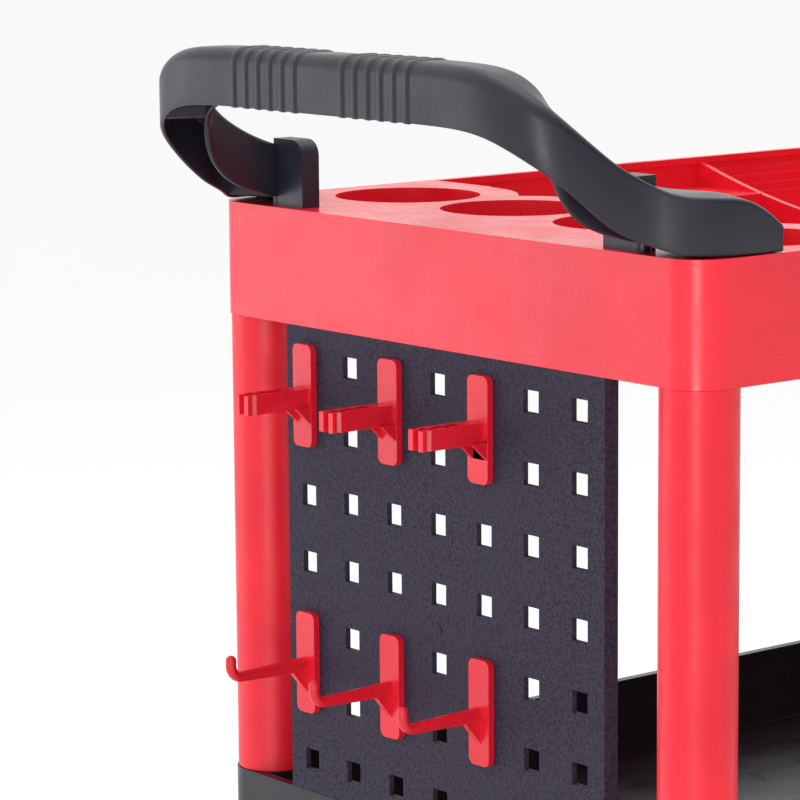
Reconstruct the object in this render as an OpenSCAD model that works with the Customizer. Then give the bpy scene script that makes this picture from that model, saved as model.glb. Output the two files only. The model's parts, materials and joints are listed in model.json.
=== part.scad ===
// Three-tier rolling utility cart with a push handle, a bottle deck and an end pegboard.
// +X runs from the handle end to the far end, +Z is up, and the floor is z = 0.

/* [Trays] */
// Length of each tray
tray_len = 690; // [650:10:760]
// Width of each tray
tray_w = 402; // [396:2:430]
// Height of each tray
tray_h = 65; // [62:1:72]
// Clear height between two trays
tier_gap = 268; // [268:1:300]
// Thickness of the moulded walls
wall = 3.5; // [3:0.5:4]
// Depth of the open tray wells
well_depth = 50; // [44:1:52]

/* [Posts] */
// Outside diameter of a post
post_d = 41; // [38:1:42]
// Wall thickness of a post
post_wall = 2.4; // [2:0.2:3]

/* [Bottle deck] */
// Number of bottle holes
bottle_count = 4; // [3:1:4]
// Diameter of a bottle hole
bottle_d = 84; // [70:1:86]
// Distance between bottle holes
bottle_pitch = 95; // [92:1:97]
// Distance of the bottle holes from the handle end
bottle_x = 96; // [90:1:104]
// Distance of the dipped divider from the handle end
divider_x = 380; // [340:5:440]

/* [Handle] */
// How far the handle stands out past the trays
handle_reach = 80; // [78:1:84]
// Height of the grip's middle above the deck
handle_rise = 80; // [74:1:88]

/* [Pegboard] */
// Distance between peg holes
peg_pitch = 38; // [38:1:38]
// Width of a square peg hole
peg_hole = 12; // [11.5:0.5:13]
// Number of peg holes each way
peg_count = 7; // [5:2:7]

/* [Casters] */
// Height from the floor to the caster's mounting face
caster_h = 128; // [124:1:136]
// Radius of a wheel
wheel_r = 50; // [48:1:51]
// Width of a tyre
tyre_w = 30; // [26:1:32]
// Offset of the wheel behind its swivel axis
trail = 34; // [30:1:36]

/* [Hidden] */
$fn = 48;
eps = 0.01;
slip = 0.05;

total_len = tray_len + handle_reach;
front_x = handle_reach - total_len / 2;
rear_x = total_len / 2;
mid_x = (front_x + rear_x) / 2;
corner_r = post_d / 2 + 0.8;
post_xs = [front_x + corner_r, rear_x - corner_r];
post_y = tray_w / 2 - corner_r;
bottom_z = caster_h;
middle_z = bottom_z + tray_h + tier_gap;
top_z = middle_z + tray_h + tier_gap;
deck_z = top_z + tray_h;
floor_t = 4;
rim_w = 6;
plug_r = post_d / 2 - post_wall - 0.1;
plug_len = 34;

red = "#f23545";
black = "#1d1c20";
slate = "#3a3944";
steel = "#b9bcc2";

// ---------- trays ----------

// A rectangle with round corners, centred on the origin
module rounded_rect(len, wid, r) {
    square([len - 2 * r, wid], center = true);
    square([len, wid - 2 * r], center = true);
    for (sx = [-1, 1], sy = [-1, 1])
        translate([sx * (len / 2 - r), sy * (wid / 2 - r)])
            circle(r);
}

// A slab of the tray's outline, inset from its outer face, from z0 to z1 above the tray's base
module tray_slab(inset, z0, z1) {
    translate([mid_x, 0, z0])
        linear_extrude(z1 - z0)
            rounded_rect(tray_len - 2 * inset, tray_w - 2 * inset, max(corner_r - inset, 8));
}

// Places children at the four post corners
module at_posts() {
    for (x = post_xs, y = [-post_y, post_y])
        translate([x, y, 0])
            children();
}

// Closed corner columns that hold the post plugs
module corner_columns(z0, z1) {
    at_posts()
        translate([0, 0, z0])
            cylinder(r = corner_r - 0.4, h = z1 - z0);
}

// The bore that takes a post plug
module plug_bores(z0, z1) {
    at_posts()
        translate([0, 0, z0])
            cylinder(r = plug_r + 0.1, h = z1 - z0);
}

// Holes for the screws that hold the plugs
module post_screw_holes(z0, z1) {
    at_posts()
        translate([0, 0, z0])
            cylinder(r = 3.3, h = z1 - z0);
}

// Stiffening ribs under a tray's floor
module floor_ribs(z0, z1) {
    for (i = [1:4])
        translate([front_x + i * tray_len / 5 - 1.5, -tray_w / 2 + wall, z0])
            cube([3, tray_w - 2 * wall, z1 - z0]);
    for (y = [-70, 70])
        translate([front_x + wall, y - 1.5, z0])
            cube([tray_len - 2 * wall, 3, z1 - z0]);
}

// An open tray: skirt, rolled rim, well and floor
module open_tray(depth) {
    floor_top = tray_h - depth;
    difference() {
        tray_slab(0, 0, tray_h);
        tray_slab(rim_w, floor_top, tray_h + 1);
        tray_slab(wall, floor_top, tray_h - 4);
        tray_slab(wall, -1, floor_top - floor_t);
    }
    corner_columns(0, tray_h);
    floor_ribs(2, floor_top - floor_t + eps);
}

module middle_tray() {
    color(black)
        translate([0, 0, middle_z])
            difference() {
                open_tray(well_depth);
                plug_bores(-1, tray_h + 1);
                strap_notches();
            }
}

// Notches in the rolled rim for the board's straps
module strap_notches() {
    for (y = strap_ys)
        translate([front_x + wall, y - strap_w / 2 - 0.5, tray_h - strap_h / 2 - 1])
            cube([strap_t + 1, strap_w + 1, strap_h]);
}

module bottom_tray() {
    floor_under = tray_h - well_depth - floor_t;
    color(black)
        translate([0, 0, bottom_z])
            difference() {
                union() {
                    open_tray(well_depth);
                    at_casters()
                        translate([-pad_l / 2, -pad_w / 2, 0])
                            cube([pad_l, pad_w, floor_under + 1]);
                }
                plug_bores(12, tray_h + 1);
                post_screw_holes(-1, 13);
                at_casters()
                    plate_holes(-1, floor_under + floor_t + 1, 3.3);
                at_casters()
                    translate([0, 0, -1])
                        cylinder(r = 13, h = 9);
            }
}

// Places children on each bottle hole's axis
module at_bottles() {
    for (i = [0:bottle_count - 1])
        translate([front_x + bottle_x, (i - (bottle_count - 1) / 2) * bottle_pitch, 0])
            children();
}

scallop_r = bottle_d / 2 + 22;
deck_t = 3.5;
shoulder_x = 162;
ledge_w = 58;
ledge_drop = 19;
cup_depth = 57;
drain_d = 30;
step_drop = 5.5;
step_out = 2.2;
step_count = 4;

// Outline of the bottle deck, with its scalloped inner edge
module deck_outline() {
    intersection() {
        translate([mid_x, 0])
            rounded_rect(tray_len - 2, tray_w - 2, corner_r - 1);
        union() {
            translate([front_x, -tray_w / 2])
                square([bottle_x, tray_w]);
            at_bottles()
                circle(scallop_r);
            for (s = [-1, 1])
                translate([front_x, s * (tray_w / 2 - 28) - 28])
                    square([shoulder_x, 56]);
        }
    }
}

// Solid bodies of the bottle cups, which are bored out later
module bottle_cups() {
    at_bottles()
        translate([0, 0, tray_h - cup_depth])
            cylinder(d = bottle_d + 2 * wall, h = cup_depth - 1);
}

// Bores and drain holes of the bottle cups
module bottle_bores() {
    at_bottles() {
        translate([0, 0, tray_h - cup_depth + wall])
            cylinder(d = bottle_d, h = cup_depth);
        translate([0, 0, -1])
            cylinder(d = drain_d, h = 20);
    }
}

// Ledges along the long walls between the deck and the divider
module side_ledges() {
    for (s = [-1, 1]) {
        outer_y = tray_w / 2 - wall + eps;
        low_y = s > 0 ? outer_y - ledge_w : -outer_y;
        translate([front_x + bottle_x, low_y, tray_h - ledge_drop - deck_t])
            cube([divider_x - bottle_x, ledge_w, deck_t]);
        riser_y = s > 0 ? outer_y - ledge_w : -outer_y + ledge_w - wall;
        translate([front_x + bottle_x, riser_y, tray_h - well_depth - floor_t])
            cube([divider_x - bottle_x, wall, well_depth + floor_t - ledge_drop]);
    }
}

// Cross wall whose top edge dips in an arc
module divider() {
    span = tray_w / 2 - wall;
    dip = 33;
    arc_r = (span * span + dip * dip) / (2 * dip);
    translate([front_x + divider_x, 0, 0])
        rotate([90, 0, 90])
            linear_extrude(4)
                difference() {
                    translate([-span - eps, tray_h - well_depth - floor_t])
                        square([2 * span + 2 * eps, well_depth + floor_t - 3]);
                    translate([0, tray_h - 3 - dip + arc_r])
                        circle(arc_r, $fn = 180);
                }
}

// Stepped inner faces of the long walls beyond the divider
module wall_steps() {
    x0 = front_x + divider_x;
    len = tray_len - divider_x - wall;
    for (s = [-1, 1], i = [1:step_count]) {
        w = i * step_out;
        y = s > 0 ? tray_w / 2 - wall - w : -tray_w / 2 + wall;
        top = tray_h - 3 - i * step_drop;
        translate([x0, y, tray_h - well_depth - floor_t])
            cube([len, w, top - tray_h + well_depth + floor_t]);
    }
}

module top_tray() {
    floor_top = tray_h - well_depth;
    color(red)
        translate([0, 0, top_z])
            difference() {
                union() {
                    difference() {
                        tray_slab(0, 0, tray_h);
                        tray_slab(wall + 1.5, floor_top, tray_h + 1);
                        tray_slab(wall, floor_top, tray_h - 4);
                        tray_slab(wall, -1, floor_top - floor_t);
                    }
                    translate([0, 0, tray_h - deck_t])
                        linear_extrude(deck_t)
                            deck_outline();
                    bottle_cups();
                    side_ledges();
                    divider();
                    wall_steps();
                    corner_columns(0, tray_h);
                    floor_ribs(2, floor_top - floor_t + eps);
                }
                bottle_bores();
                plug_bores(-1, tray_h - 9);
                post_screw_holes(0, tray_h + 1);
                handle_screw_sites()
                    translate([0, 0, -10])
                        cylinder(r = 2.3, h = 20);
            }
}

// ---------- posts ----------

module post(ix, sy, z) {
    color(red)
        translate([post_xs[ix], sy * post_y, z])
            difference() {
                cylinder(d = post_d, h = tier_gap);
                translate([0, 0, -1])
                    cylinder(d = post_d - 2 * post_wall, h = tier_gap + 2);
            }
}

upper_post_z = middle_z + tray_h;
lower_post_z = bottom_z + tray_h;

// A ribbed plug that joins a post to a tray corner
module plug(len, bored) {
    difference() {
        cylinder(r = plug_r, h = len);
        if (bored)
            translate([0, 0, -1])
                cylinder(r = 2.4, h = len + 2);
    }
}

module top_plugs() {
    color(black)
        translate([0, 0, top_z - plug_len])
            at_posts()
                plug(plug_len + tray_h - 9, true);
}

module middle_plugs() {
    color(black)
        translate([0, 0, middle_z - plug_len])
            at_posts()
                plug(2 * plug_len + tray_h, false);
}

module bottom_plugs() {
    color(black)
        translate([0, 0, bottom_z + 12])
            at_posts()
                plug(plug_len + tray_h - 12, true);
}

// Pan-head screw pointing down from its head's seat
module pan_screw(shank_r, len, head_r, head_h) {
    difference() {
        cylinder(r1 = head_r, r2 = head_r * 0.72, h = head_h);
        translate([-head_r * 0.55, -0.5, head_h * 0.45])
            cube([head_r * 1.1, 1, head_h]);
        translate([-0.5, -head_r * 0.55, head_h * 0.45])
            cube([1, head_r * 1.1, head_h]);
    }
    translate([0, 0, -len])
        cylinder(r = shank_r, h = len + eps);
}

module top_post_screws() {
    color(steel)
        translate([0, 0, deck_z])
            at_posts()
                pan_screw(2.4, 40, 6, 3);
}

module bottom_post_screws() {
    color(steel)
        translate([0, 0, bottom_z])
            at_posts()
                mirror([0, 0, 1])
                    pan_screw(2.4, 40, 6, 3);
}

// ---------- handle ----------

// Stations of half the handle from the middle of the grip to the end of a foot:
// distance from the trays' end face, distance from the centre line, height above the deck,
// width and height of the section, radius of its upper corners
rib_out = 0.9;
grip_x = 15 + rib_out - handle_reach;
handle_half = [
    [grip_x, 0, handle_rise, 30, 31, 8],
    [grip_x, 60, handle_rise, 30, 31, 8],
    [grip_x, 106, handle_rise, 30, 31, 8],
    [grip_x + 0.5, 132, handle_rise - 3, 29.5, 31.5, 8],
    [-58, 150.5, 65, 27, 33, 8],
    [-45, 157.5, 46.5, 25.5, 35, 6],
    [-29.5, 158.5, 32.3, 26.5, 35, 4],
    [-13, 160.8, 24.4, 30, 31.6, 3],
    [2, 165.5, 18.8, 39, 29.6, 3],
    [15, 173.6, 15.7, 43, 29.4, 3],
    [29, 182, 15.2, 39, 29.6, 3],
    [41.5, 189, 14.2, 24, 27.8, 3],
    [51, 192.8, 11, 15, 21.4, 3],
    [60, 194.8, 7.2, 10.6, 13.8, 2.5],
];
handle_t = 3;
// Stations of the ribs under each foot
foot_ribs = [8.2, 9.1, 10];
stations_per_span = 4;
half_spans = len(handle_half) - 1;

function unit(v) = v / norm(v);

// B-spline blend of four neighbouring stations
function blend(a, b, c, d, t) =
    (a * pow(1 - t, 3) + b * (3 * pow(t, 3) - 6 * t * t + 4)
        + c * (1 + 3 * t * (1 + t - t * t)) + d * pow(t, 3)) / 6;

function mirrored(s) = [s[0], -s[1], s[2], s[3], s[4], s[5]];

// Station at a whole number, with the other half mirrored below zero and the end repeated
function raw_station(i) =
    i < 0 ? mirrored(raw_station(-i)) :
    i > half_spans ? 2 * handle_half[half_spans] - handle_half[half_spans - 1] :
    handle_half[i];

// Station at any place along the handle, from -half_spans to half_spans
function station(u) =
    let (i = min(floor(u), half_spans - 1))
    blend(raw_station(i - 1), raw_station(i), raw_station(i + 1), raw_station(i + 2), u - i);

function centre(u) = let (s = station(u)) [front_x + s[0], s[1], deck_z + s[2]];

function tangent(u) =
    let (a = max(u - 0.05, -half_spans), b = min(u + 0.05, half_spans))
    unit(centre(b) - centre(a));

// Points of one upright section: each point is an inward offset and a height offset from its centre
function place(u, points) =
    let (c = centre(u), side = unit(cross(tangent(u), [0, 0, 1])))
    [for (p = points) c + side * p[0] + [0, 0, p[1]]];

// Channel section, open below, with round upper corners
function channel(w, h, t, r) =
    let (ri = max(r - t, 1.5), a = w / 2, b = h / 2)
    concat(
        [[-a, -b]],
        [for (k = [0:3]) [-a + r - r * cos(k * 30), b - r + r * sin(k * 30)]],
        [for (k = [3:-1:0]) [a - r + r * cos(k * 30), b - r + r * sin(k * 30)]],
        [[a, -b], [a - t, -b], [a - t, b - t - ri], [a - t - ri, b - t]],
        [[-a + t + ri, b - t], [-a + t, b - t - ri], [-a + t, -b]]
    );

// Solid section with the same outline
function slug(w, h, r) =
    let (a = w / 2, b = h / 2)
    concat(
        [[-a, -b]],
        [for (k = [0:3]) [-a + r - r * cos(k * 30), b - r + r * sin(k * 30)]],
        [for (k = [3:-1:0]) [a - r + r * cos(k * 30), b - r + r * sin(k * 30)]],
        [[a, -b]]
    );

// Skin over a list of sections that all have the same number of points
module skin(rings) {
    n = len(rings[0]);
    last = len(rings) - 1;
    points = [for (r = rings, p = r) p];
    sides = [for (i = [0:last - 1], k = [0:n - 1])
        [i * n + k, (i + 1) * n + k, (i + 1) * n + (k + 1) % n, i * n + (k + 1) % n]];
    first_cap = [for (k = [0:n - 1]) k];
    last_cap = [for (k = [n - 1:-1:0]) last * n + k];
    polyhedron(points, concat(sides, [first_cap], [last_cap]), convexity = 8);
}

// A stretch of solid handle from u0 to u1, a little inside the outer skin
module web(u0, u1, inset) {
    skin([for (u = [min(u0, u1), max(u0, u1)])
        let (s = station(u))
        place(u, slug(s[3] - 2 * inset, s[4] - 2 * inset, s[5]))]);
}

module handle_shell() {
    steps = half_spans * stations_per_span;
    skin([for (i = [-steps:steps])
        let (u = i / stations_per_span, s = station(u))
        place(u, channel(s[3], s[4], handle_t, s[5]))]);
}

// Raised grip ribs in two groups
rib_pitch = 10.5;
module grip_ribs() {
    for (side = [-1, 1], i = [0:5])
        translate([front_x + grip_x, side * (20 + i * rib_pitch), deck_z + handle_rise])
            rotate([90, 0, 0])
                linear_extrude(4, center = true)
                    polygon(channel(30 + 2 * rib_out, 31 + 2 * rib_out, handle_t + rib_out, 8 + rib_out));
}

handle_screw_spots = [[10, 150, 28], [47, 187, 21.5]];

// Places children at the handle's screws, on the deck
module handle_screw_sites() {
    for (s = [-1, 1], p = handle_screw_spots)
        translate([front_x + p[0], s * p[1], tray_h])
            children();
}

module handle_bosses() {
    for (s = [-1, 1], p = handle_screw_spots)
        translate([front_x + p[0], s * p[1], deck_z])
            cylinder(r = 4.5, h = p[2]);
}

// Upright fin on the inner side of a foot, rounded at its free upper corner
tower_h = 38;
tower_inner = 125;
tower_outer = 151;
tower_round = 9;
tower_outline = concat(
    [[tower_outer, 0], [tower_outer, tower_h - 6], [tower_outer - 11, tower_h]],
    [for (a = [0:22.5:90]) [tower_inner + tower_round * (1 - sin(a)), tower_h - tower_round * (1 - cos(a))]],
    [[tower_inner, 0]]
);
module foot_tower(s) {
    translate([front_x + 6, 0, deck_z])
        rotate([90, 0, 90])
            linear_extrude(12)
                polygon([for (p = tower_outline) [s * p[0], p[1]]]);
}

module handle() {
    color(slate) {
        handle_shell();
        grip_ribs();
        handle_bosses();
        for (s = [-1, 1]) {
            web(s * (half_spans - 0.01), s * (half_spans - 0.7), 0.4);
            for (u = foot_ribs)
                web(s * u, s * (u + 0.08), 1);
            foot_tower(s);
        }
    }
}

module handle_screws() {
    color(steel)
        translate([0, 0, top_z])
            handle_screw_sites()
                translate([0, 0, -deck_t])
                    mirror([0, 0, 1])
                        pan_screw(2, 12, 4, 2.4);
}

// ---------- pegboard ----------

board_size = peg_count * peg_pitch;
board_t = wall;
board_lip = 9.5;
board_top = top_z;
row_z = [for (i = [0:peg_count - 1]) board_top - (i + 0.5) * tier_gap / peg_count];
col_y = [for (j = [0:peg_count - 1]) ((peg_count - 1) / 2 - j) * peg_pitch];
row_pitch = tier_gap / peg_count;

module pegboard() {
    color(slate) {
        difference() {
            translate([front_x, -board_size / 2, board_top - tier_gap])
                cube([board_t, board_size, tier_gap]);
            for (y = col_y, z = row_z)
                translate([front_x - 1, y - peg_hole / 2, z - peg_hole / 2])
                    cube([board_t + 2, peg_hole, peg_hole]);
        }
        for (s = [-1, 1])
            translate([front_x, s * (board_size / 2 - 1.5) - 1.5, board_top - tier_gap])
                cube([board_lip, 3, tier_gap]);
        translate([front_x - 0.6, 0, row_z[3] - row_pitch / 2])
            rotate([0, 90, 0])
                cylinder(r = 2.5, h = 2);
    }
}

strap_ys = [-2.5 * peg_pitch, 2.5 * peg_pitch];
strap_t = 2;
strap_w = 16;
strap_h = 20;
strap_hole = 5.5;

module at_straps() {
    for (y = strap_ys, z = [top_z, top_z - tier_gap])
        translate([front_x + wall, y, z])
            children();
}

// Flat straps behind the board's top and bottom edges
module board_straps() {
    color(steel)
        at_straps()
            difference() {
                translate([0, -strap_w / 2, -strap_h / 2])
                    cube([strap_t, strap_w, strap_h]);
                for (z = [-strap_hole, strap_hole])
                    translate([-1, 0, z])
                        rotate([0, 90, 0])
                            cylinder(r = 2.1, h = 4);
            }
}

module board_screws() {
    color(steel)
        at_straps()
            for (z = [-strap_hole, strap_hole])
                translate([strap_t, 0, z])
                    rotate([0, 90, 0])
                        pan_screw(2, strap_t + 2.6, 3.6, 2);
}

// ---------- hooks ----------

plate_w = 16.5;
plate_h = 58;
plate_t = 4;
hook_gap = 0.3;
lug_w = 10;
lug_h = 5.5;
plate_face = front_x - hook_gap;

// Back plate with rounded ends and two lugs that hook behind the board
module hook_plate(y, row) {
    upper = row_z[row];
    lower = row_z[row + 1];
    mid = (upper + lower) / 2;
    translate([plate_face - plate_t, y, mid])
        rotate([90, 0, 90])
            linear_extrude(plate_t) {
                square([plate_w, plate_h - 8], center = true);
                square([plate_w - 8, plate_h], center = true);
                for (sx = [-1, 1], sz = [-1, 1])
                    translate([sx * (plate_w / 2 - 4), sz * (plate_h / 2 - 4)])
                        circle(4);
            }
    for (z = [upper, lower]) {
        neck_z = z - peg_hole / 2 + 0.1;
        translate([plate_face - eps, y - lug_w / 2, neck_z])
            cube([hook_gap + board_t + 0.4 + 3, lug_w, lug_h]);
        translate([front_x + board_t + 0.4, y - lug_w / 2, neck_z - 4.5])
            cube([3, lug_w, lug_h + 4.5]);
    }
}

clip_len = 42;
clip_w = 12;
clip_h = 11;

// Short forked arm with a ribbed jaw
module clip_arm(y, z) {
    x0 = plate_face - plate_t;
    difference() {
        translate([x0 - clip_len, y - clip_w / 2, z - clip_h / 2])
            cube([clip_len + eps, clip_w, clip_h]);
        translate([x0 - clip_len - 1, y - 2.2, z - clip_h])
            cube([clip_len - 10, 4.4, 2 * clip_h]);
        for (i = [0:2])
            translate([x0 - 14 - i * 10, y, z - clip_h])
                cylinder(r = 4, h = 2 * clip_h);
        for (s = [-1, 1])
            translate([x0 - clip_len + 4, y + s * clip_w / 2, z - clip_h])
                rotate(45)
                    cube([2.6, 2.6, 4 * clip_h], center = true);
    }
    for (s = [-1, 1])
        translate([x0, y + s * clip_w / 2 - 1, z - clip_h / 2])
            rotate([90, 0, 0])
                linear_extrude(2, center = true)
                    polygon([[eps, -9], [eps, 0.5], [-10, 0.5]]);
}

rod_r = 3;
rod_reach = 52;
tip_rise = 13;

// Round rod with an upturned tip and a gusset below its root
module rod_arm(y, z) {
    x0 = plate_face - plate_t;
    bend = 7;
    translate([x0 + eps, y, z])
        rotate([0, -90, 0])
            cylinder(r1 = rod_r + 1.2, r2 = rod_r, h = rod_reach - bend + eps);
    translate([x0 - rod_reach + bend, y, z + bend])
        rotate([90, 0, 0])
            rotate([0, 0, 180])
                rotate_extrude(angle = 90)
                    translate([bend, 0])
                        circle(rod_r);
    translate([x0 - rod_reach, y, z + bend - eps]) {
        cylinder(r = rod_r, h = tip_rise - bend - rod_r);
        translate([0, 0, tip_rise - bend - rod_r])
            sphere(rod_r);
    }
    translate([0, y, 0])
        rotate([90, 0, 0])
            linear_extrude(4, center = true)
                polygon([[x0 + eps, z - 16], [x0 + eps, z], [x0 - 13, z]]);
}

module clip_hook(col) {
    color(red) {
        hook_plate(col_y[col], 0);
        clip_arm(col_y[col], row_z[0] - row_pitch / 2 - 1);
    }
}

module rod_hook(col) {
    color(red) {
        hook_plate(col_y[col], 4);
        rod_arm(col_y[col], row_z[4] - row_pitch / 2 - 1);
    }
}

// ---------- casters ----------

pad_l = 96;
pad_w = 74;
plate_t2 = 3;
hole_dx = 37;
hole_dy = 27;
caster_xs = [front_x + 76, rear_x - 76];
caster_y = tray_w / 2 - 74;
axle_r = 5;
crown_z = caster_h - 14;
fork_in = tyre_w / 2 + 4;
fork_t = 3;
pin_r = 6;

module at_casters() {
    for (x = caster_xs, y = [-caster_y, caster_y])
        translate([x, y, 0])
            children();
}

module at_caster(ix, sy) {
    translate([caster_xs[ix], sy * caster_y, 0])
        children();
}

// The four bolt holes of a mounting plate
module plate_holes(z0, z1, r) {
    for (sx = [-1, 1], sy = [-1, 1])
        translate([sx * hole_dx, sy * hole_dy, z0])
            cylinder(r = r, h = z1 - z0);
}

// Mounting plate with a pressed bearing cup
module caster_plate(ix, sy) {
    color(steel)
        at_caster(ix, sy)
            difference() {
                union() {
                    translate([0, 0, caster_h - plate_t2])
                        linear_extrude(plate_t2)
                            rounded_rect(pad_l - 4, pad_w - 4, 6);
                    translate([0, 0, caster_h - 9])
                        cylinder(r1 = 25, r2 = 28, h = 6 + eps);
                }
                translate([0, 0, caster_h - 20])
                    cylinder(r = pin_r + 0.02, h = 30);
                plate_holes(caster_h - 10, caster_h + 1, 3.3);
            }
}

// Kingpin rivets: head above the plate, shank through the crown and a washer head below
module kingpins() {
    color(steel)
        at_casters() {
            translate([0, 0, crown_z - 7])
                cylinder(r = pin_r, h = caster_h - crown_z + 8);
            translate([0, 0, caster_h + 0.02])
                cylinder(r1 = 10, r2 = 8, h = 4);
            translate([0, 0, crown_z - 8])
                cylinder(r = 10, h = 3.8);
        }
}

// Bolts that hold the plates, with their washers and nuts
module caster_bolts() {
    color(steel)
        at_casters()
            for (sx = [-1, 1], sy = [-1, 1])
                translate([sx * hole_dx, sy * hole_dy, 0]) {
                    translate([0, 0, caster_h - plate_t2 - 4])
                        cylinder(r = 5.6, h = 4, $fn = 6);
                    translate([0, 0, caster_h - plate_t2 - 6])
                        cylinder(r = 3, h = 26);
                    translate([0, 0, bottom_z + tray_h - well_depth])
                        cylinder(r = 6.5, h = 1.4);
                    translate([0, 0, bottom_z + tray_h - well_depth + 1.4 - eps])
                        cylinder(r = 5.4, h = 3.2);
                }
}

// Outline of a fork leg: wide at the crown and round at the axle
module leg_outline() {
    polygon([
        [24, crown_z], [-24, crown_z], [-26, crown_z - 8],
        [-trail - 11, wheel_r + 3], [-trail + 11, wheel_r - 4], [20, crown_z - 10],
    ]);
    translate([-trail, wheel_r])
        circle(11.5);
}

module fork(ix, sy) {
    front = ix == 0;
    color(steel)
        at_caster(ix, sy)
            difference() {
                union() {
                    translate([0, 0, crown_z - 3])
                        linear_extrude(3)
                            rounded_rect(50, 2 * fork_in + 2 * fork_t, 4);
                    translate([0, 0, crown_z - eps])
                        cylinder(r = 24, h = 4.7);
                    for (s = [-1, 1])
                        translate([0, s * (fork_in + fork_t / 2), 0])
                            rotate([90, 0, 0])
                                linear_extrude(fork_t, center = true)
                                    leg_outline();
                    if (front)
                        for (s = [-1, 1])
                            translate([brake_x, s * (fork_in + fork_t / 2), brake_z])
                                rotate([90, 0, 0])
                                    linear_extrude(fork_t, center = true)
                                        brake_ear();
                }
                translate([0, 0, crown_z - 20])
                    cylinder(r = pin_r + slip, h = 40);
                translate([-trail, 0, wheel_r])
                    rotate([90, 0, 0])
                        cylinder(r = axle_r + 0.02, h = 100, center = true);
                if (front)
                    translate([brake_x, 0, brake_z])
                        rotate([90, 0, 0])
                            cylinder(r = brake_pin_r + 0.02, h = 100, center = true);
            }
}

brake_pin_r = 2.5;
brake_x = -33;
brake_z = crown_z - 5;

// Ear on a fork leg that carries the brake's pin
module brake_ear() {
    ear_r = brake_z - crown_z + 12;
    circle(ear_r);
    translate([0, -ear_r])
        square([20, ear_r + crown_z - brake_z]);
}

// Axle bolt with a hex head and a nut
module axle(ix, sy) {
    out = fork_in + fork_t;
    color(steel)
        at_caster(ix, sy)
            translate([-trail, 0, wheel_r])
                rotate([90, 0, 0]) {
                    cylinder(r = axle_r, h = 2 * out + 16, center = true);
                    translate([0, 0, out])
                        cylinder(r = 9.2, h = 5.5, $fn = 6);
                    translate([0, 0, -out - 6.5])
                        cylinder(r = 9.2, h = 6.5, $fn = 6);
                }
}

hub_r = wheel_r - 13;

// Hub with a rim, a web and a boss that carries the bearing bore
module hub(ix, sy) {
    color(slate)
        at_caster(ix, sy)
            translate([-trail, 0, wheel_r])
                rotate([90, 0, 0])
                    difference() {
                        union() {
                            cylinder(r = 12, h = 2 * fork_in - 1, center = true);
                            cylinder(r = hub_r, h = 9, center = true);
                            difference() {
                                cylinder(r = hub_r, h = tyre_w - 4, center = true);
                                cylinder(r = hub_r - 6, h = tyre_w, center = true);
                            }
                        }
                        cylinder(r = axle_r + slip, h = 100, center = true);
                        for (a = [0:60:300])
                            rotate(a)
                                translate([21.5, 0])
                                    cylinder(r = 5, h = 100, center = true);
                    }
}

// Tyre with a rounded tread
module tyre(ix, sy) {
    shoulder = 7;
    color(black)
        at_caster(ix, sy)
            translate([-trail, 0, wheel_r])
                rotate([90, 0, 0])
                    rotate_extrude() {
                        translate([hub_r, -tyre_w / 2 + shoulder])
                            square([wheel_r - hub_r, tyre_w - 2 * shoulder]);
                        translate([hub_r, -tyre_w / 2])
                            square([wheel_r - hub_r - shoulder, tyre_w]);
                        for (s = [-1, 1])
                            translate([wheel_r - shoulder, s * (tyre_w / 2 - shoulder)])
                                circle(shoulder);
                    }
}

// Foot pedal over the wheel, with a shoe that presses on the tyre
module brake_pedal(sy) {
    half = fork_in - 0.6;
    color(red)
        at_caster(0, sy)
            difference() {
                union() {
                    translate([brake_x, 0, brake_z])
                        rotate([90, 0, 0])
                            cylinder(r = 5.5, h = 2 * half, center = true);
                    translate([0, -half, 0])
                        rotate([90, 0, 0])
                            mirror([0, 0, 1])
                                linear_extrude(2 * half)
                                    translate([brake_x, brake_z])
                                        polygon([
                                            [0, 5.4], [-20, 7], [-46, -2], [-45, -7],
                                            [-31, -9], [-20, -7.2], [-8, -5], [0, -5.4],
                                        ]);
                }
                translate([brake_x, 0, brake_z])
                    rotate([90, 0, 0])
                        cylinder(r = brake_pin_r + slip, h = 100, center = true);
            }
}

module brake_pin(sy) {
    color(steel)
        at_caster(0, sy)
            translate([brake_x, 0, brake_z])
                rotate([90, 0, 0]) {
                    cylinder(r = brake_pin_r, h = 2 * (fork_in + fork_t) + 2, center = true);
                    for (s = [-1, 1])
                        translate([0, 0, s * (fork_in + fork_t + 1)])
                            cylinder(r = 4, h = 2, center = true);
                }
}

top_tray();
middle_tray();
bottom_tray();
post(0, 1, upper_post_z);  // post_upper_front_left
post(0, -1, upper_post_z);  // post_upper_front_right
post(1, 1, upper_post_z);  // post_upper_rear_left
post(1, -1, upper_post_z);  // post_upper_rear_right
post(0, 1, lower_post_z);  // post_lower_front_left
post(0, -1, lower_post_z);  // post_lower_front_right
post(1, 1, lower_post_z);  // post_lower_rear_left
post(1, -1, lower_post_z);  // post_lower_rear_right
top_plugs();
middle_plugs();
bottom_plugs();
top_post_screws();
bottom_post_screws();
handle();
handle_screws();
pegboard();
board_straps();
board_screws();
clip_hook(0);  // clip_hook_left
clip_hook(2);  // clip_hook_middle
clip_hook(4);  // clip_hook_right
rod_hook(0);  // rod_hook_left
rod_hook(2);  // rod_hook_middle
rod_hook(4);  // rod_hook_right
caster_plate(0, 1);  // caster_plate_front_left
caster_plate(0, -1);  // caster_plate_front_right
caster_plate(1, 1);  // caster_plate_rear_left
caster_plate(1, -1);  // caster_plate_rear_right
kingpins();
caster_bolts();
fork(0, 1);  // fork_front_left
fork(0, -1);  // fork_front_right
fork(1, 1);  // fork_rear_left
fork(1, -1);  // fork_rear_right
axle(0, 1);  // axle_front_left
axle(0, -1);  // axle_front_right
axle(1, 1);  // axle_rear_left
axle(1, -1);  // axle_rear_right
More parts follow.
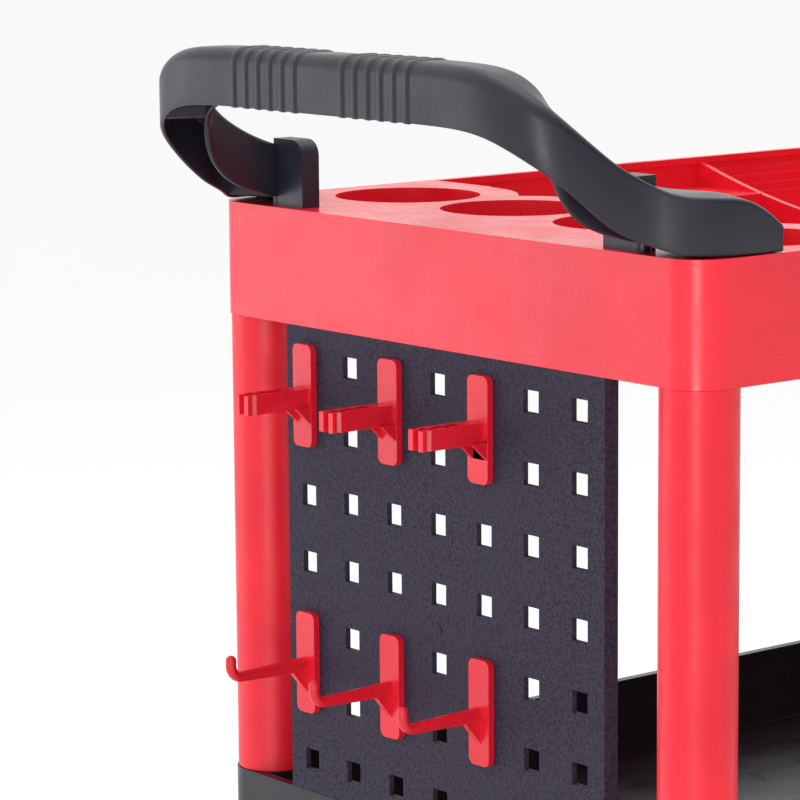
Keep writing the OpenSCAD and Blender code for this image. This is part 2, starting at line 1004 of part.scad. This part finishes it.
hub(0, 1);  // hub_front_left
hub(0, -1);  // hub_front_right
hub(1, 1);  // hub_rear_left
hub(1, -1);  // hub_rear_right
tyre(0, 1);  // tyre_front_left
tyre(0, -1);  // tyre_front_right
tyre(1, 1);  // tyre_rear_left
tyre(1, -1);  // tyre_rear_right
brake_pedal(1);  // brake_pedal_left
brake_pedal(-1);  // brake_pedal_right
brake_pin(1);  // brake_pin_left
brake_pin(-1);  // brake_pin_right
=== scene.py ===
"""Looks of the rolling utility cart: materials, softened edges, a moulded handle, light and camera."""

import json
import math

import bmesh
import bpy
from mathutils import Matrix, Vector


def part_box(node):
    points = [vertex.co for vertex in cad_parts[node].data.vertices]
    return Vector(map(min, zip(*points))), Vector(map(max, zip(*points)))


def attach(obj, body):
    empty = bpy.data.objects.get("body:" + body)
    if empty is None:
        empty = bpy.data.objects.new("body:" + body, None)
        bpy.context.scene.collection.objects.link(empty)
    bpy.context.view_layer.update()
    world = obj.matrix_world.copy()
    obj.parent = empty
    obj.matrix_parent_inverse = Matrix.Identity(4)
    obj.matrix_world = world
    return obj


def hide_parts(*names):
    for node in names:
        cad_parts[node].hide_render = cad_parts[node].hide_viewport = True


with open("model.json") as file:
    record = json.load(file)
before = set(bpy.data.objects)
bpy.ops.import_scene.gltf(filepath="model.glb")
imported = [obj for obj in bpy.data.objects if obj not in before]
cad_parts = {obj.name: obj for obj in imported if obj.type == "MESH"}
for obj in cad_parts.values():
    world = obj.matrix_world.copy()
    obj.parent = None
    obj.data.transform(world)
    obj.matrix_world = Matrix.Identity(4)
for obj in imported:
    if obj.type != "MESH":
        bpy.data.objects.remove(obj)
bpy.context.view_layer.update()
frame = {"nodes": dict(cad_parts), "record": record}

MM = 0.001
UP = Vector((0, 0, 1))
NODES = frame["nodes"]

TRAY_LOW, TRAY_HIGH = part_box("top_tray")
FRONT_X = TRAY_LOW.x
DECK_Z = TRAY_HIGH.z


# ---------- material helpers ----------

RANGE_SOCKETS = ("From Min", "From Max", "To Min", "To Max")


class Shader:
    """A node material built around one Principled shader."""

    def __init__(self, name):
        self.material = bpy.data.materials.new(name)
        self.material.use_nodes = True
        self.tree = self.material.node_tree
        self.shader = self.tree.nodes["Principled BSDF"]
        self.coordinates = self.node("ShaderNodeTexCoord").outputs["Object"]
        self.height = None

    def node(self, kind, **settings):
        new = self.tree.nodes.new(kind)
        for key, value in settings.items():
            setattr(new, key, value)
        return new

    def link(self, source, target):
        self.tree.links.new(source, target)

    def put(self, socket, value):
        """Sets a socket to a constant."""
        self.shader.inputs[socket].default_value = value

    def stretched(self, scale):
        """Object coordinates multiplied by a scale on each axis."""
        mapping = self.node("ShaderNodeMapping")
        mapping.inputs["Scale"].default_value = scale
        self.link(self.coordinates, mapping.inputs["Vector"])
        return mapping.outputs["Vector"]

    def noise(self, scale, detail=4.0, roughness=0.55, vector=None):
        """Fractal noise with scale features to the metre."""
        noise = self.node("ShaderNodeTexNoise")
        noise.inputs["Scale"].default_value = scale
        noise.inputs["Detail"].default_value = detail
        noise.inputs["Roughness"].default_value = roughness
        self.link(vector or self.coordinates, noise.inputs["Vector"])
        return noise.outputs["Fac"]

    def cells(self, scale):
        """Voronoi distance with scale cells to the metre."""
        cells = self.node("ShaderNodeTexVoronoi", feature="F1")
        cells.inputs["Scale"].default_value = scale
        self.link(self.coordinates, cells.inputs["Vector"])
        return cells.outputs["Distance"]

    def span(self, value, low, high, out_low, out_high):
        """Maps value from low..high to out_low..out_high, clamped."""
        span = self.node("ShaderNodeMapRange")
        for socket, number in zip(RANGE_SOCKETS, (low, high, out_low, out_high)):
            span.inputs[socket].default_value = number
        self.link(value, span.inputs["Value"])
        return span.outputs["Result"]

    def mix(self, factor, first, second):
        """Colour between first and second, each a colour or a socket."""
        mix = self.node("ShaderNodeMix", data_type="RGBA")
        self.link(factor, mix.inputs[0])
        for socket, colour in zip((6, 7), (first, second)):
            if isinstance(colour, tuple):
                mix.inputs[socket].default_value = (*colour, 1)
            else:
                self.link(colour, mix.inputs[socket])
        return mix.outputs[2]

    def add(self, first, second, operation="ADD"):
        """One number from two."""
        total = self.node("ShaderNodeMath", operation=operation, use_clamp=False)
        for socket, value in zip(total.inputs, (first, second)):
            if isinstance(value, (int, float)):
                socket.default_value = value
            else:
                self.link(value, socket)
        return total.outputs[0]

    def edges(self, low=0.52, high=0.6):
        """How much a point lies on an outer edge, from 0 to 1."""
        return self.span(self.node("ShaderNodeNewGeometry").outputs["Pointiness"], low, high, 0, 1)

    def bump(self, height, depth, strength=1.0):
        """Adds a layer of relief that is depth metres high."""
        bump = self.node("ShaderNodeBump")
        bump.inputs["Strength"].default_value = strength
        bump.inputs["Distance"].default_value = depth
        self.link(height, bump.inputs["Height"])
        if self.height is not None:
            self.link(self.height, bump.inputs["Normal"])
        self.height = bump.outputs["Normal"]
        self.link(self.height, self.shader.inputs["Normal"])

    def colour(self, socket):
        self.link(socket, self.shader.inputs["Base Color"])

    def rough(self, socket):
        self.link(socket, self.shader.inputs["Roughness"])


def scaled(colour, factor):
    return tuple(min(1.0, part * factor) for part in colour)


def moulded_plastic(name, base, roughness, specular=0.5, grain=0.00004, lift=1.35):
    """Injection-moulded plastic: faint flow clouds, fine grain, handling marks and paler edges."""
    s = Shader(name)
    clouds = s.noise(9, detail=3)
    flow = s.noise(5, detail=5, vector=s.stretched((1, 1, 4)))
    body = s.mix(s.span(clouds, 0.35, 0.65, 0, 1), scaled(base, 0.9), scaled(base, 1.07))
    body = s.mix(s.span(flow, 0.55, 0.75, 0, 0.35), body, scaled(base, lift))
    speck = s.span(s.noise(900, detail=2), 0.62, 0.75, 0, 0.25)
    body = s.mix(speck, body, scaled(base, lift))
    s.colour(s.mix(s.add(s.edges(), 0.35, "MULTIPLY"), body, scaled(base, 1.6)))
    smears = s.span(s.noise(28, detail=6), 0.4, 0.7, roughness - 0.05, roughness + 0.08)
    s.rough(s.add(smears, s.span(s.noise(350), 0.4, 0.6, -0.02, 0.02)))
    s.put("Specular IOR Level", specular)
    s.bump(s.noise(16, detail=1), 0.0006, 0.35)
    s.bump(s.noise(1400, detail=2), grain, 0.6)
    return s


def pebbled_board(name, base):
    """Pressed sheet with a coarse pebbled grain; its pale specks are partly speckled tone and partly
    painted highlight.
    """
    s = Shader(name)
    pebbles = s.cells(520)
    fine = s.noise(1300, detail=3)
    # Paler specks at the pebble centres on a darker ground: partly a speckled tone of the sheet, partly
    # painted highlight in the specks.
    speck_tone_and_highlight = s.span(s.add(pebbles, fine, "MULTIPLY"), 0.1, 0.42, 0, 1)
    body = s.mix(speck_tone_and_highlight, scaled(base, 1.5), scaled(base, 0.7))
    s.colour(s.mix(s.span(s.noise(14, detail=4), 0.4, 0.65, 0, 0.4), body, scaled(base, 1.25)))
    s.rough(s.span(fine, 0.35, 0.65, 0.42, 0.68))
    s.put("Specular IOR Level", 0.12)
    s.bump(pebbles, 0.0005, 0.7)
    s.bump(fine, 0.0002, 0.5)
    return s


def zinc_steel(name, base, roughness=0.34):
    """Zinc-plated pressed steel: spangled tone, brushed streaks and duller patches."""
    s = Shader(name)
    spangle = s.cells(160)
    streaks = s.noise(40, detail=6, vector=s.stretched((1, 1, 22)))
    stains = s.span(s.noise(22, detail=6), 0.56, 0.74, 0, 0.5)
    body = s.mix(s.span(spangle, 0.1, 0.8, 0, 1), scaled(base, 1.08), scaled(base, 0.84))
    s.colour(s.mix(stains, body, (0.36, 0.35, 0.33)))
    brushed = s.span(streaks, 0.35, 0.65, roughness - 0.08, roughness + 0.1)
    s.rough(s.add(brushed, s.add(stains, 0.2, "MULTIPLY")))
    s.put("Metallic", 1.0)
    s.bump(streaks, 0.00004, 0.5)
    s.bump(s.noise(600, detail=2), 0.00003, 0.4)
    return s


def tyre_rubber(name, base):
    """Moulded rubber with a fine skin and pale dust in the tread."""
    s = Shader(name)
    dust = s.span(s.noise(60, detail=7, roughness=0.7), 0.5, 0.72, 0, 0.5)
    body = s.mix(s.span(s.noise(12), 0.4, 0.6, 0, 1), scaled(base, 0.85), scaled(base, 1.3))
    s.colour(s.mix(dust, body, (0.09, 0.085, 0.078)))
    s.rough(s.add(s.span(s.noise(220), 0.35, 0.65, 0.55, 0.72), s.add(dust, 0.25, "MULTIPLY")))
    s.bump(s.noise(800, detail=4), 0.00012, 0.6)
    return s


RED = (0.83, 0.012, 0.03)
MATERIALS = {
    "red_tray": moulded_plastic("red_tray", RED, 0.3, specular=0.55),
    "red_post": moulded_plastic("red_post", RED, 0.4, specular=0.42, grain=0.00002),
    "red_fitting": moulded_plastic("red_fitting", (0.72, 0.01, 0.026), 0.3, specular=0.45),
    "black_tray": moulded_plastic("black_tray", (0.012, 0.009, 0.014), 0.3, specular=0.4, lift=1.6),
    "black_plug": moulded_plastic("black_plug", (0.015, 0.015, 0.017), 0.45, lift=1.6),
    "slate_handle": moulded_plastic(
        "slate_handle", (0.014, 0.0125, 0.022), 0.36, specular=0.45, lift=1.4, grain=0.00008
    ),
    "board": pebbled_board("board", (0.03, 0.024, 0.041)),
    "tyre": tyre_rubber("tyre", (0.022, 0.022, 0.024)),
    "hub": moulded_plastic("hub", (0.06, 0.06, 0.066), 0.42, lift=1.4),
    "zinc": zinc_steel("zinc", (0.62, 0.63, 0.66)),
    "bright_steel": zinc_steel("bright_steel", (0.68, 0.69, 0.71), 0.26),
}


# ---------- geometry helpers ----------

WELD_DISTANCE = 0.01 * MM
FLAT_ANGLE = math.radians(0.6)
BEVEL_ANGLE = math.radians(32)
BEVEL_SEGMENTS = 3


def dress(piece, slot):
    """Gives a piece the material of its slot."""
    piece.data.materials.clear()
    piece.data.materials.append(MATERIALS[slot].material)


def smooth_faces(mesh):
    mesh.polygons.foreach_set("use_smooth", [True] * len(mesh.polygons))


def soften(piece, width):
    """Rounds the sharp edges of a piece and keeps its faces flat."""
    mesh = piece.data
    if "custom_normal" in mesh.attributes:
        mesh.attributes.remove(mesh.attributes["custom_normal"])
    smooth_faces(mesh)
    weld = piece.modifiers.new("Weld", "WELD")
    weld.merge_threshold = WELD_DISTANCE
    planes = piece.modifiers.new("Planes", "DECIMATE")
    planes.decimate_type = "DISSOLVE"
    planes.angle_limit = FLAT_ANGLE
    bevel = piece.modifiers.new("Bevel", "BEVEL")
    bevel.width = width
    bevel.segments = BEVEL_SEGMENTS
    bevel.limit_method = "ANGLE"
    bevel.angle_limit = BEVEL_ANGLE
    bevel.harden_normals = True
    bevel.miter_outer = "MITER_ARC"


def new_piece(name, mesh, body, slot, *replaced):
    """Adds a mesh to the scene as a piece on a body, in place of CAD nodes."""
    piece = bpy.data.objects.new(name, mesh)
    bpy.context.scene.collection.objects.link(piece)
    smooth_faces(mesh)
    dress(piece, slot)
    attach(piece, body)
    if replaced:
        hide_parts(*replaced)
    return piece


# ---------- handle ----------

# Stations of half the handle, in mm: distance from the end face, distance from the
# centre line, height above the deck, width and height of the section, corner radius
HANDLE = [
    (-64.1, 0, 80, 30, 31, 9),
    (-64.1, 60, 80, 30, 31, 9),
    (-64.1, 106, 80, 30, 31, 9),
    (-63.6, 132, 77, 29.5, 31.5, 9),
    (-58, 150.5, 65, 27, 33, 9),
    (-45, 157.5, 46.5, 25.5, 35, 6),
    (-29.5, 158.5, 32.3, 26.5, 35, 3.5),
    (-13, 160.8, 24.4, 30, 31.6, 2.6),
    (2, 165.5, 18.8, 39, 29.6, 2.6),
    (15, 173.6, 15.7, 43, 29.4, 2.6),
    (29, 182, 15.2, 39, 29.6, 2.6),
    (41.5, 189, 14.2, 24, 27.8, 2.6),
    (51, 192.8, 11, 15, 21.4, 2.6),
    (60, 194.8, 7.2, 10.6, 13.8, 2.2),
]
LAST = len(HANDLE) - 1
SKIN = 3.0
RIB_OUT = 0.9
RIB_PITCH = 10.5
RIB_FIRST = 20
RIBS = 6
RIB_WIDTH = 5.5
# Distance between rings, in stations, over the grip ribs and on the arms
GRIP_STEP = 0.0135
ARM_STEP = 0.07
# Half the distance, in stations, over which the handle's direction is measured
AHEAD = 0.04
# Places of the walls across the inside of the channel, in stations, and their thickness
WEBS = (3.6, 8.2, 9.1, 10)
WEB_THICK = 0.08
WEB_INSET = 1
# Where the solid toe begins and ends, in stations before the last one
TOE = (0.7, 0.01)
TOE_INSET = 0.4
SHARP_ANGLE = math.radians(50)
# Screw bosses: distance from the end face, distance from the centre line, height
BOSSES = [(10, 150, 28), (47, 187, 21.5)]
BOSS_RADIUS = 4.5
BOSS_SIDES = 20
# Upright fin on the inner side of each foot
TOWER_X = (6, 18)
TOWER_Y = (125, 151)
TOWER_HIGH = 38
TOWER_ROUND = 9


def raw_station(i):
    """Station i, mirrored below zero and run on straight past the end."""
    if i < 0:
        x, y, *rest = raw_station(-i)
        return (x, -y, *rest)
    if i > LAST:
        return tuple(2 * a - b for a, b in zip(HANDLE[LAST], HANDLE[LAST - 1]))
    return HANDLE[i]


def station(u):
    """Smooth station at any place from -LAST to LAST, on a uniform cubic B-spline."""
    i = min(math.floor(u), LAST - 1)
    t = u - i
    around = zip(*(raw_station(i + k) for k in (-1, 0, 1, 2)))
    weights = ((1 - t) ** 3, 3 * t ** 3 - 6 * t ** 2 + 4, 1 + 3 * t * (1 + t - t * t), t ** 3)
    return [sum(weight * value for weight, value in zip(weights, values)) / 6 for values in around]


def handle_centre(u):
    x, y, z = station(u)[:3]
    return Vector((FRONT_X + x * MM, y * MM, DECK_Z + z * MM))


def handle_side(u):
    """Inward direction of the upright section at u."""
    ahead = handle_centre(min(u + AHEAD, LAST)) - handle_centre(max(u - AHEAD, -LAST))
    return ahead.cross(UP).normalized()


def arc(cx, cy, radius, start, end, steps):
    """Points of an arc, in degrees."""
    angles = [math.radians(start + (end - start) * k / steps) for k in range(steps + 1)]
    return [(cx + radius * math.cos(a), cy + radius * math.sin(a)) for a in angles]


def channel(wide, high, r, swell):
    """Channel section open below, with round upper corners and rolled lips, grown outwards by swell."""
    a, b = wide / 2, high / 2
    inner = max(r - SKIN, 1.5)
    lip = SKIN / 2 - 0.05
    outline = arc(-a + r, b - r, r + swell, 180, 90, 8) + arc(a - r, b - r, r + swell, 90, 0, 8)
    outline += [(a + swell, 0)]
    outline += arc(a - lip + swell * 0.5, -b + lip, lip + swell * 0.5, 0, -180, 6)
    outline += arc(a - SKIN - inner, b - SKIN - inner, inner, 0, 90, 4)
    outline += arc(-a + SKIN + inner, b - SKIN - inner, inner, 90, 180, 4)
    outline += arc(-a + lip - swell * 0.5, -b + lip, lip + swell * 0.5, 0, -180, 6)
    outline += [(-a - swell, 0)]
    return outline


def rib_swell(y):
    """How far the grip stands out at a distance y from the middle, in mm."""
    place = abs(y) - RIB_FIRST
    nearest = min(max(round(place / RIB_PITCH), 0), RIBS - 1)
    off = abs(place - nearest * RIB_PITCH) / (RIB_WIDTH / 2)
    return RIB_OUT * max(0.0, 1 - off ** 4)


def handle_places():
    """Places of the rings: close together over the grip ribs, wider on the arms."""
    half = []
    u = 0.0
    while u < LAST:
        half.append(u)
        y = station(u)[1]
        u += GRIP_STEP if y < RIB_FIRST + RIBS * RIB_PITCH else ARM_STEP
    half.append(float(LAST))
    return [-u for u in reversed(half[1:])] + half


def ring(bm, u, outline):
    centre = handle_centre(u)
    side = handle_side(u)
    return [bm.verts.new(centre + side * (x * MM) + UP * (y * MM)) for x, y in outline]


def bridge(bm, first, second):
    for k in range(len(first)):
        n = (k + 1) % len(first)
        bm.faces.new((first[k], second[k], second[n], first[n]))


def slug(wide, high, r, inset):
    """Closed section that fills the channel."""
    a, b = wide / 2 - inset, high / 2 - inset
    return [(a, -b), (-a, -b)] + arc(-a + r, b - r, r, 180, 90, 6) + arc(a - r, b - r, r, 90, 0, 6)


def add_web(bm, u0, u1, inset):
    """A wall across the inside of the channel from u0 to u1."""
    rings = []
    for u in sorted((u0, u1)):
        rings.append(ring(bm, u, slug(*station(u)[3:], inset)))
    bridge(bm, *rings)
    bm.faces.new(rings[0])
    bm.faces.new(reversed(rings[1]))


def add_boss(bm, x, y, high):
    """Upright screw boss that stands on the deck."""
    place = Matrix.Translation((FRONT_X + x * MM, y * MM, DECK_Z + high / 2 * MM))
    turn = Matrix.Rotation(math.pi / BOSS_SIDES, 4, "Z")
    radius = BOSS_RADIUS * MM / math.cos(math.pi / BOSS_SIDES)
    bmesh.ops.create_cone(
        bm, cap_ends=True, segments=BOSS_SIDES, radius1=radius, radius2=radius,
        depth=high * MM, matrix=place @ turn
    )


def add_tower(bm, side):
    """Upright fin on the inner side of a foot, rounded at its free upper corner."""
    inner, outer, high = TOWER_Y[0], TOWER_Y[1], TOWER_HIGH
    r = TOWER_ROUND
    outline = [(outer, 0), (outer, high)] + arc(inner + r, high - r, r, 90, 180, 6) + [(inner, 0)]
    faces = []
    for x in TOWER_X:
        faces.append([
            bm.verts.new((FRONT_X + x * MM, side * y * MM, DECK_Z + z * MM)) for y, z in outline
        ])
    bridge(bm, *faces)
    bm.faces.new(faces[0])
    bm.faces.new(reversed(faces[1]))


def build_handle():
    """Push handle: one swept channel with grip ribs, inner webs, bosses, fins and closed toes."""
    bm = bmesh.new()
    rings = []
    for u in handle_places():
        _, y, _, *section = station(u)
        rings.append(ring(bm, u, channel(*section, rib_swell(y))))
    for first, second in zip(rings, rings[1:]):
        bridge(bm, first, second)
    bm.faces.new(rings[0])
    bm.faces.new(reversed(rings[-1]))
    for side in (-1, 1):
        add_web(bm, side * (LAST - TOE[1]), side * (LAST - TOE[0]), TOE_INSET)
        for u in WEBS:
            add_web(bm, side * u, side * (u + WEB_THICK), WEB_INSET)
        for x, y, high in BOSSES:
            add_boss(bm, x, side * y, high)
        add_tower(bm, side)
    bmesh.ops.recalc_face_normals(bm, faces=bm.faces)
    mesh = bpy.data.meshes.new("handle_shell")
    bm.to_mesh(mesh)
    bm.free()
    piece = new_piece("handle_shell", mesh, "cart", "slate_handle", "handle")
    sharp = piece.modifiers.new("Edges", "EDGE_SPLIT")
    sharp.split_angle = SHARP_ANGLE


build_handle()


# ---------- carried-over CAD nodes ----------

EDGE_WIDTHS = {
    "top_tray": 0.0012,
    "middle_tray": 0.0012,
    "bottom_tray": 0.0012,
    "pegboard": 0.0005,
    "hook": 0.0005,
    "post": 0.0005,
    "tyre": 0.001,
    "brake_pedal": 0.0015,
}
SMALLEST_EDGE = 0.0004

SLOTS = {part["node"]: part["material_slot"] for part in frame["record"]["subparts"]}

for name, part in NODES.items():
    dress(part, SLOTS[name])
    widths = [width for word, width in EDGE_WIDTHS.items() if word in name and "screw" not in name]
    soften(part, max(widths, default=SMALLEST_EDGE))


# ---------- floor, light and camera ----------

FLOOR_HALF = 60


def build_floor():
    """Plain pale floor, far wider than the view."""
    mesh = bpy.data.meshes.new("floor")
    corners = [(x * FLOOR_HALF, y * FLOOR_HALF, 0) for x, y in ((-1, -1), (1, -1), (1, 1), (-1, 1))]
    mesh.from_pydata(corners, [], [(0, 1, 2, 3)])
    floor = bpy.data.objects.new("floor", mesh)
    bpy.context.scene.collection.objects.link(floor)
    s = Shader("pale_floor")
    s.colour(s.mix(s.noise(1.2, detail=3), (0.965, 0.965, 0.965), (0.98, 0.98, 0.98)))
    s.put("Roughness", 0.85)
    floor.data.materials.append(s.material)


def area_light(name, place, target, size, power, colour=(1, 1, 1)):
    light = bpy.data.lights.new(name, "AREA")
    light.size = size
    light.energy = power
    light.color = colour
    lamp = bpy.data.objects.new(name, light)
    bpy.context.scene.collection.objects.link(lamp)
    lamp.location = place
    lamp.rotation_euler = (Vector(target) - Vector(place)).to_track_quat("-Z", "Y").to_euler()


# How squarely a direction must face the greyer wall for the shade to begin and to be full
SHADE_SPREAD = (0.45, 0.95)


def studio_world(strength, shade, shade_at):
    """White surroundings with a greyer wall in one direction."""
    world = bpy.data.worlds.new("studio")
    bpy.context.scene.world = world
    world.use_nodes = True
    tree = world.node_tree
    sky = tree.nodes["Background"]
    sky.inputs["Strength"].default_value = strength
    facing = tree.nodes.new("ShaderNodeVectorMath")
    facing.operation = "DOT_PRODUCT"
    facing.inputs[1].default_value = Vector(shade_at).normalized()
    tree.links.new(tree.nodes.new("ShaderNodeTexCoord").outputs["Generated"], facing.inputs[0])
    ramp = tree.nodes.new("ShaderNodeMapRange")
    for socket, number in zip(RANGE_SOCKETS, (*SHADE_SPREAD, 1, shade)):
        ramp.inputs[socket].default_value = number
    tree.links.new(facing.outputs["Value"], ramp.inputs["Value"])
    tree.links.new(ramp.outputs["Result"], sky.inputs["Color"])


CAMERA_AT = Vector((-1.491, -1.441, 1.071))
CAMERA_YAW = math.radians(51.16)
CAMERA_PITCH = math.radians(-9.26)
CAMERA_ROLL = math.radians(-0.46)
LENS = 159.06
SENSOR = 36


def add_camera():
    """Camera at the viewing angle, slightly rolled, with a long lens."""
    forward = Vector((
        math.cos(CAMERA_YAW) * math.cos(CAMERA_PITCH),
        math.sin(CAMERA_YAW) * math.cos(CAMERA_PITCH),
        math.sin(CAMERA_PITCH),
    ))
    right = forward.cross(UP).normalized()
    level_up = right.cross(forward)
    tilted_right = right * math.cos(CAMERA_ROLL) + level_up * math.sin(CAMERA_ROLL)
    tilted_up = level_up * math.cos(CAMERA_ROLL) - right * math.sin(CAMERA_ROLL)
    data = bpy.data.cameras.new("camera")
    data.lens = LENS
    data.sensor_width = SENSOR
    camera = bpy.data.objects.new("camera", data)
    bpy.context.scene.collection.objects.link(camera)
    turn = Matrix((tilted_right, tilted_up, -forward)).transposed()
    camera.matrix_world = Matrix.Translation(CAMERA_AT) @ turn.to_4x4()
    bpy.context.scene.camera = camera


build_floor()
studio_world(1.05, 0.25, (0.63, -0.78, 0.0))
area_light("key", (-2.3, -1.75, 0.55), (-0.3, -0.2, 0.8), 0.7, 11)
area_light("end_sheen", (-2.2, 2.6, 0.8), (0, 0, 0.7), 1.8, 13, (0.86, 0.9, 1))
area_light("top", (0.4, 0.2, 3.6), (0, 0, 0.5), 2.4, 24)
add_camera()
bpy.context.scene.view_settings.view_transform = "Standard"
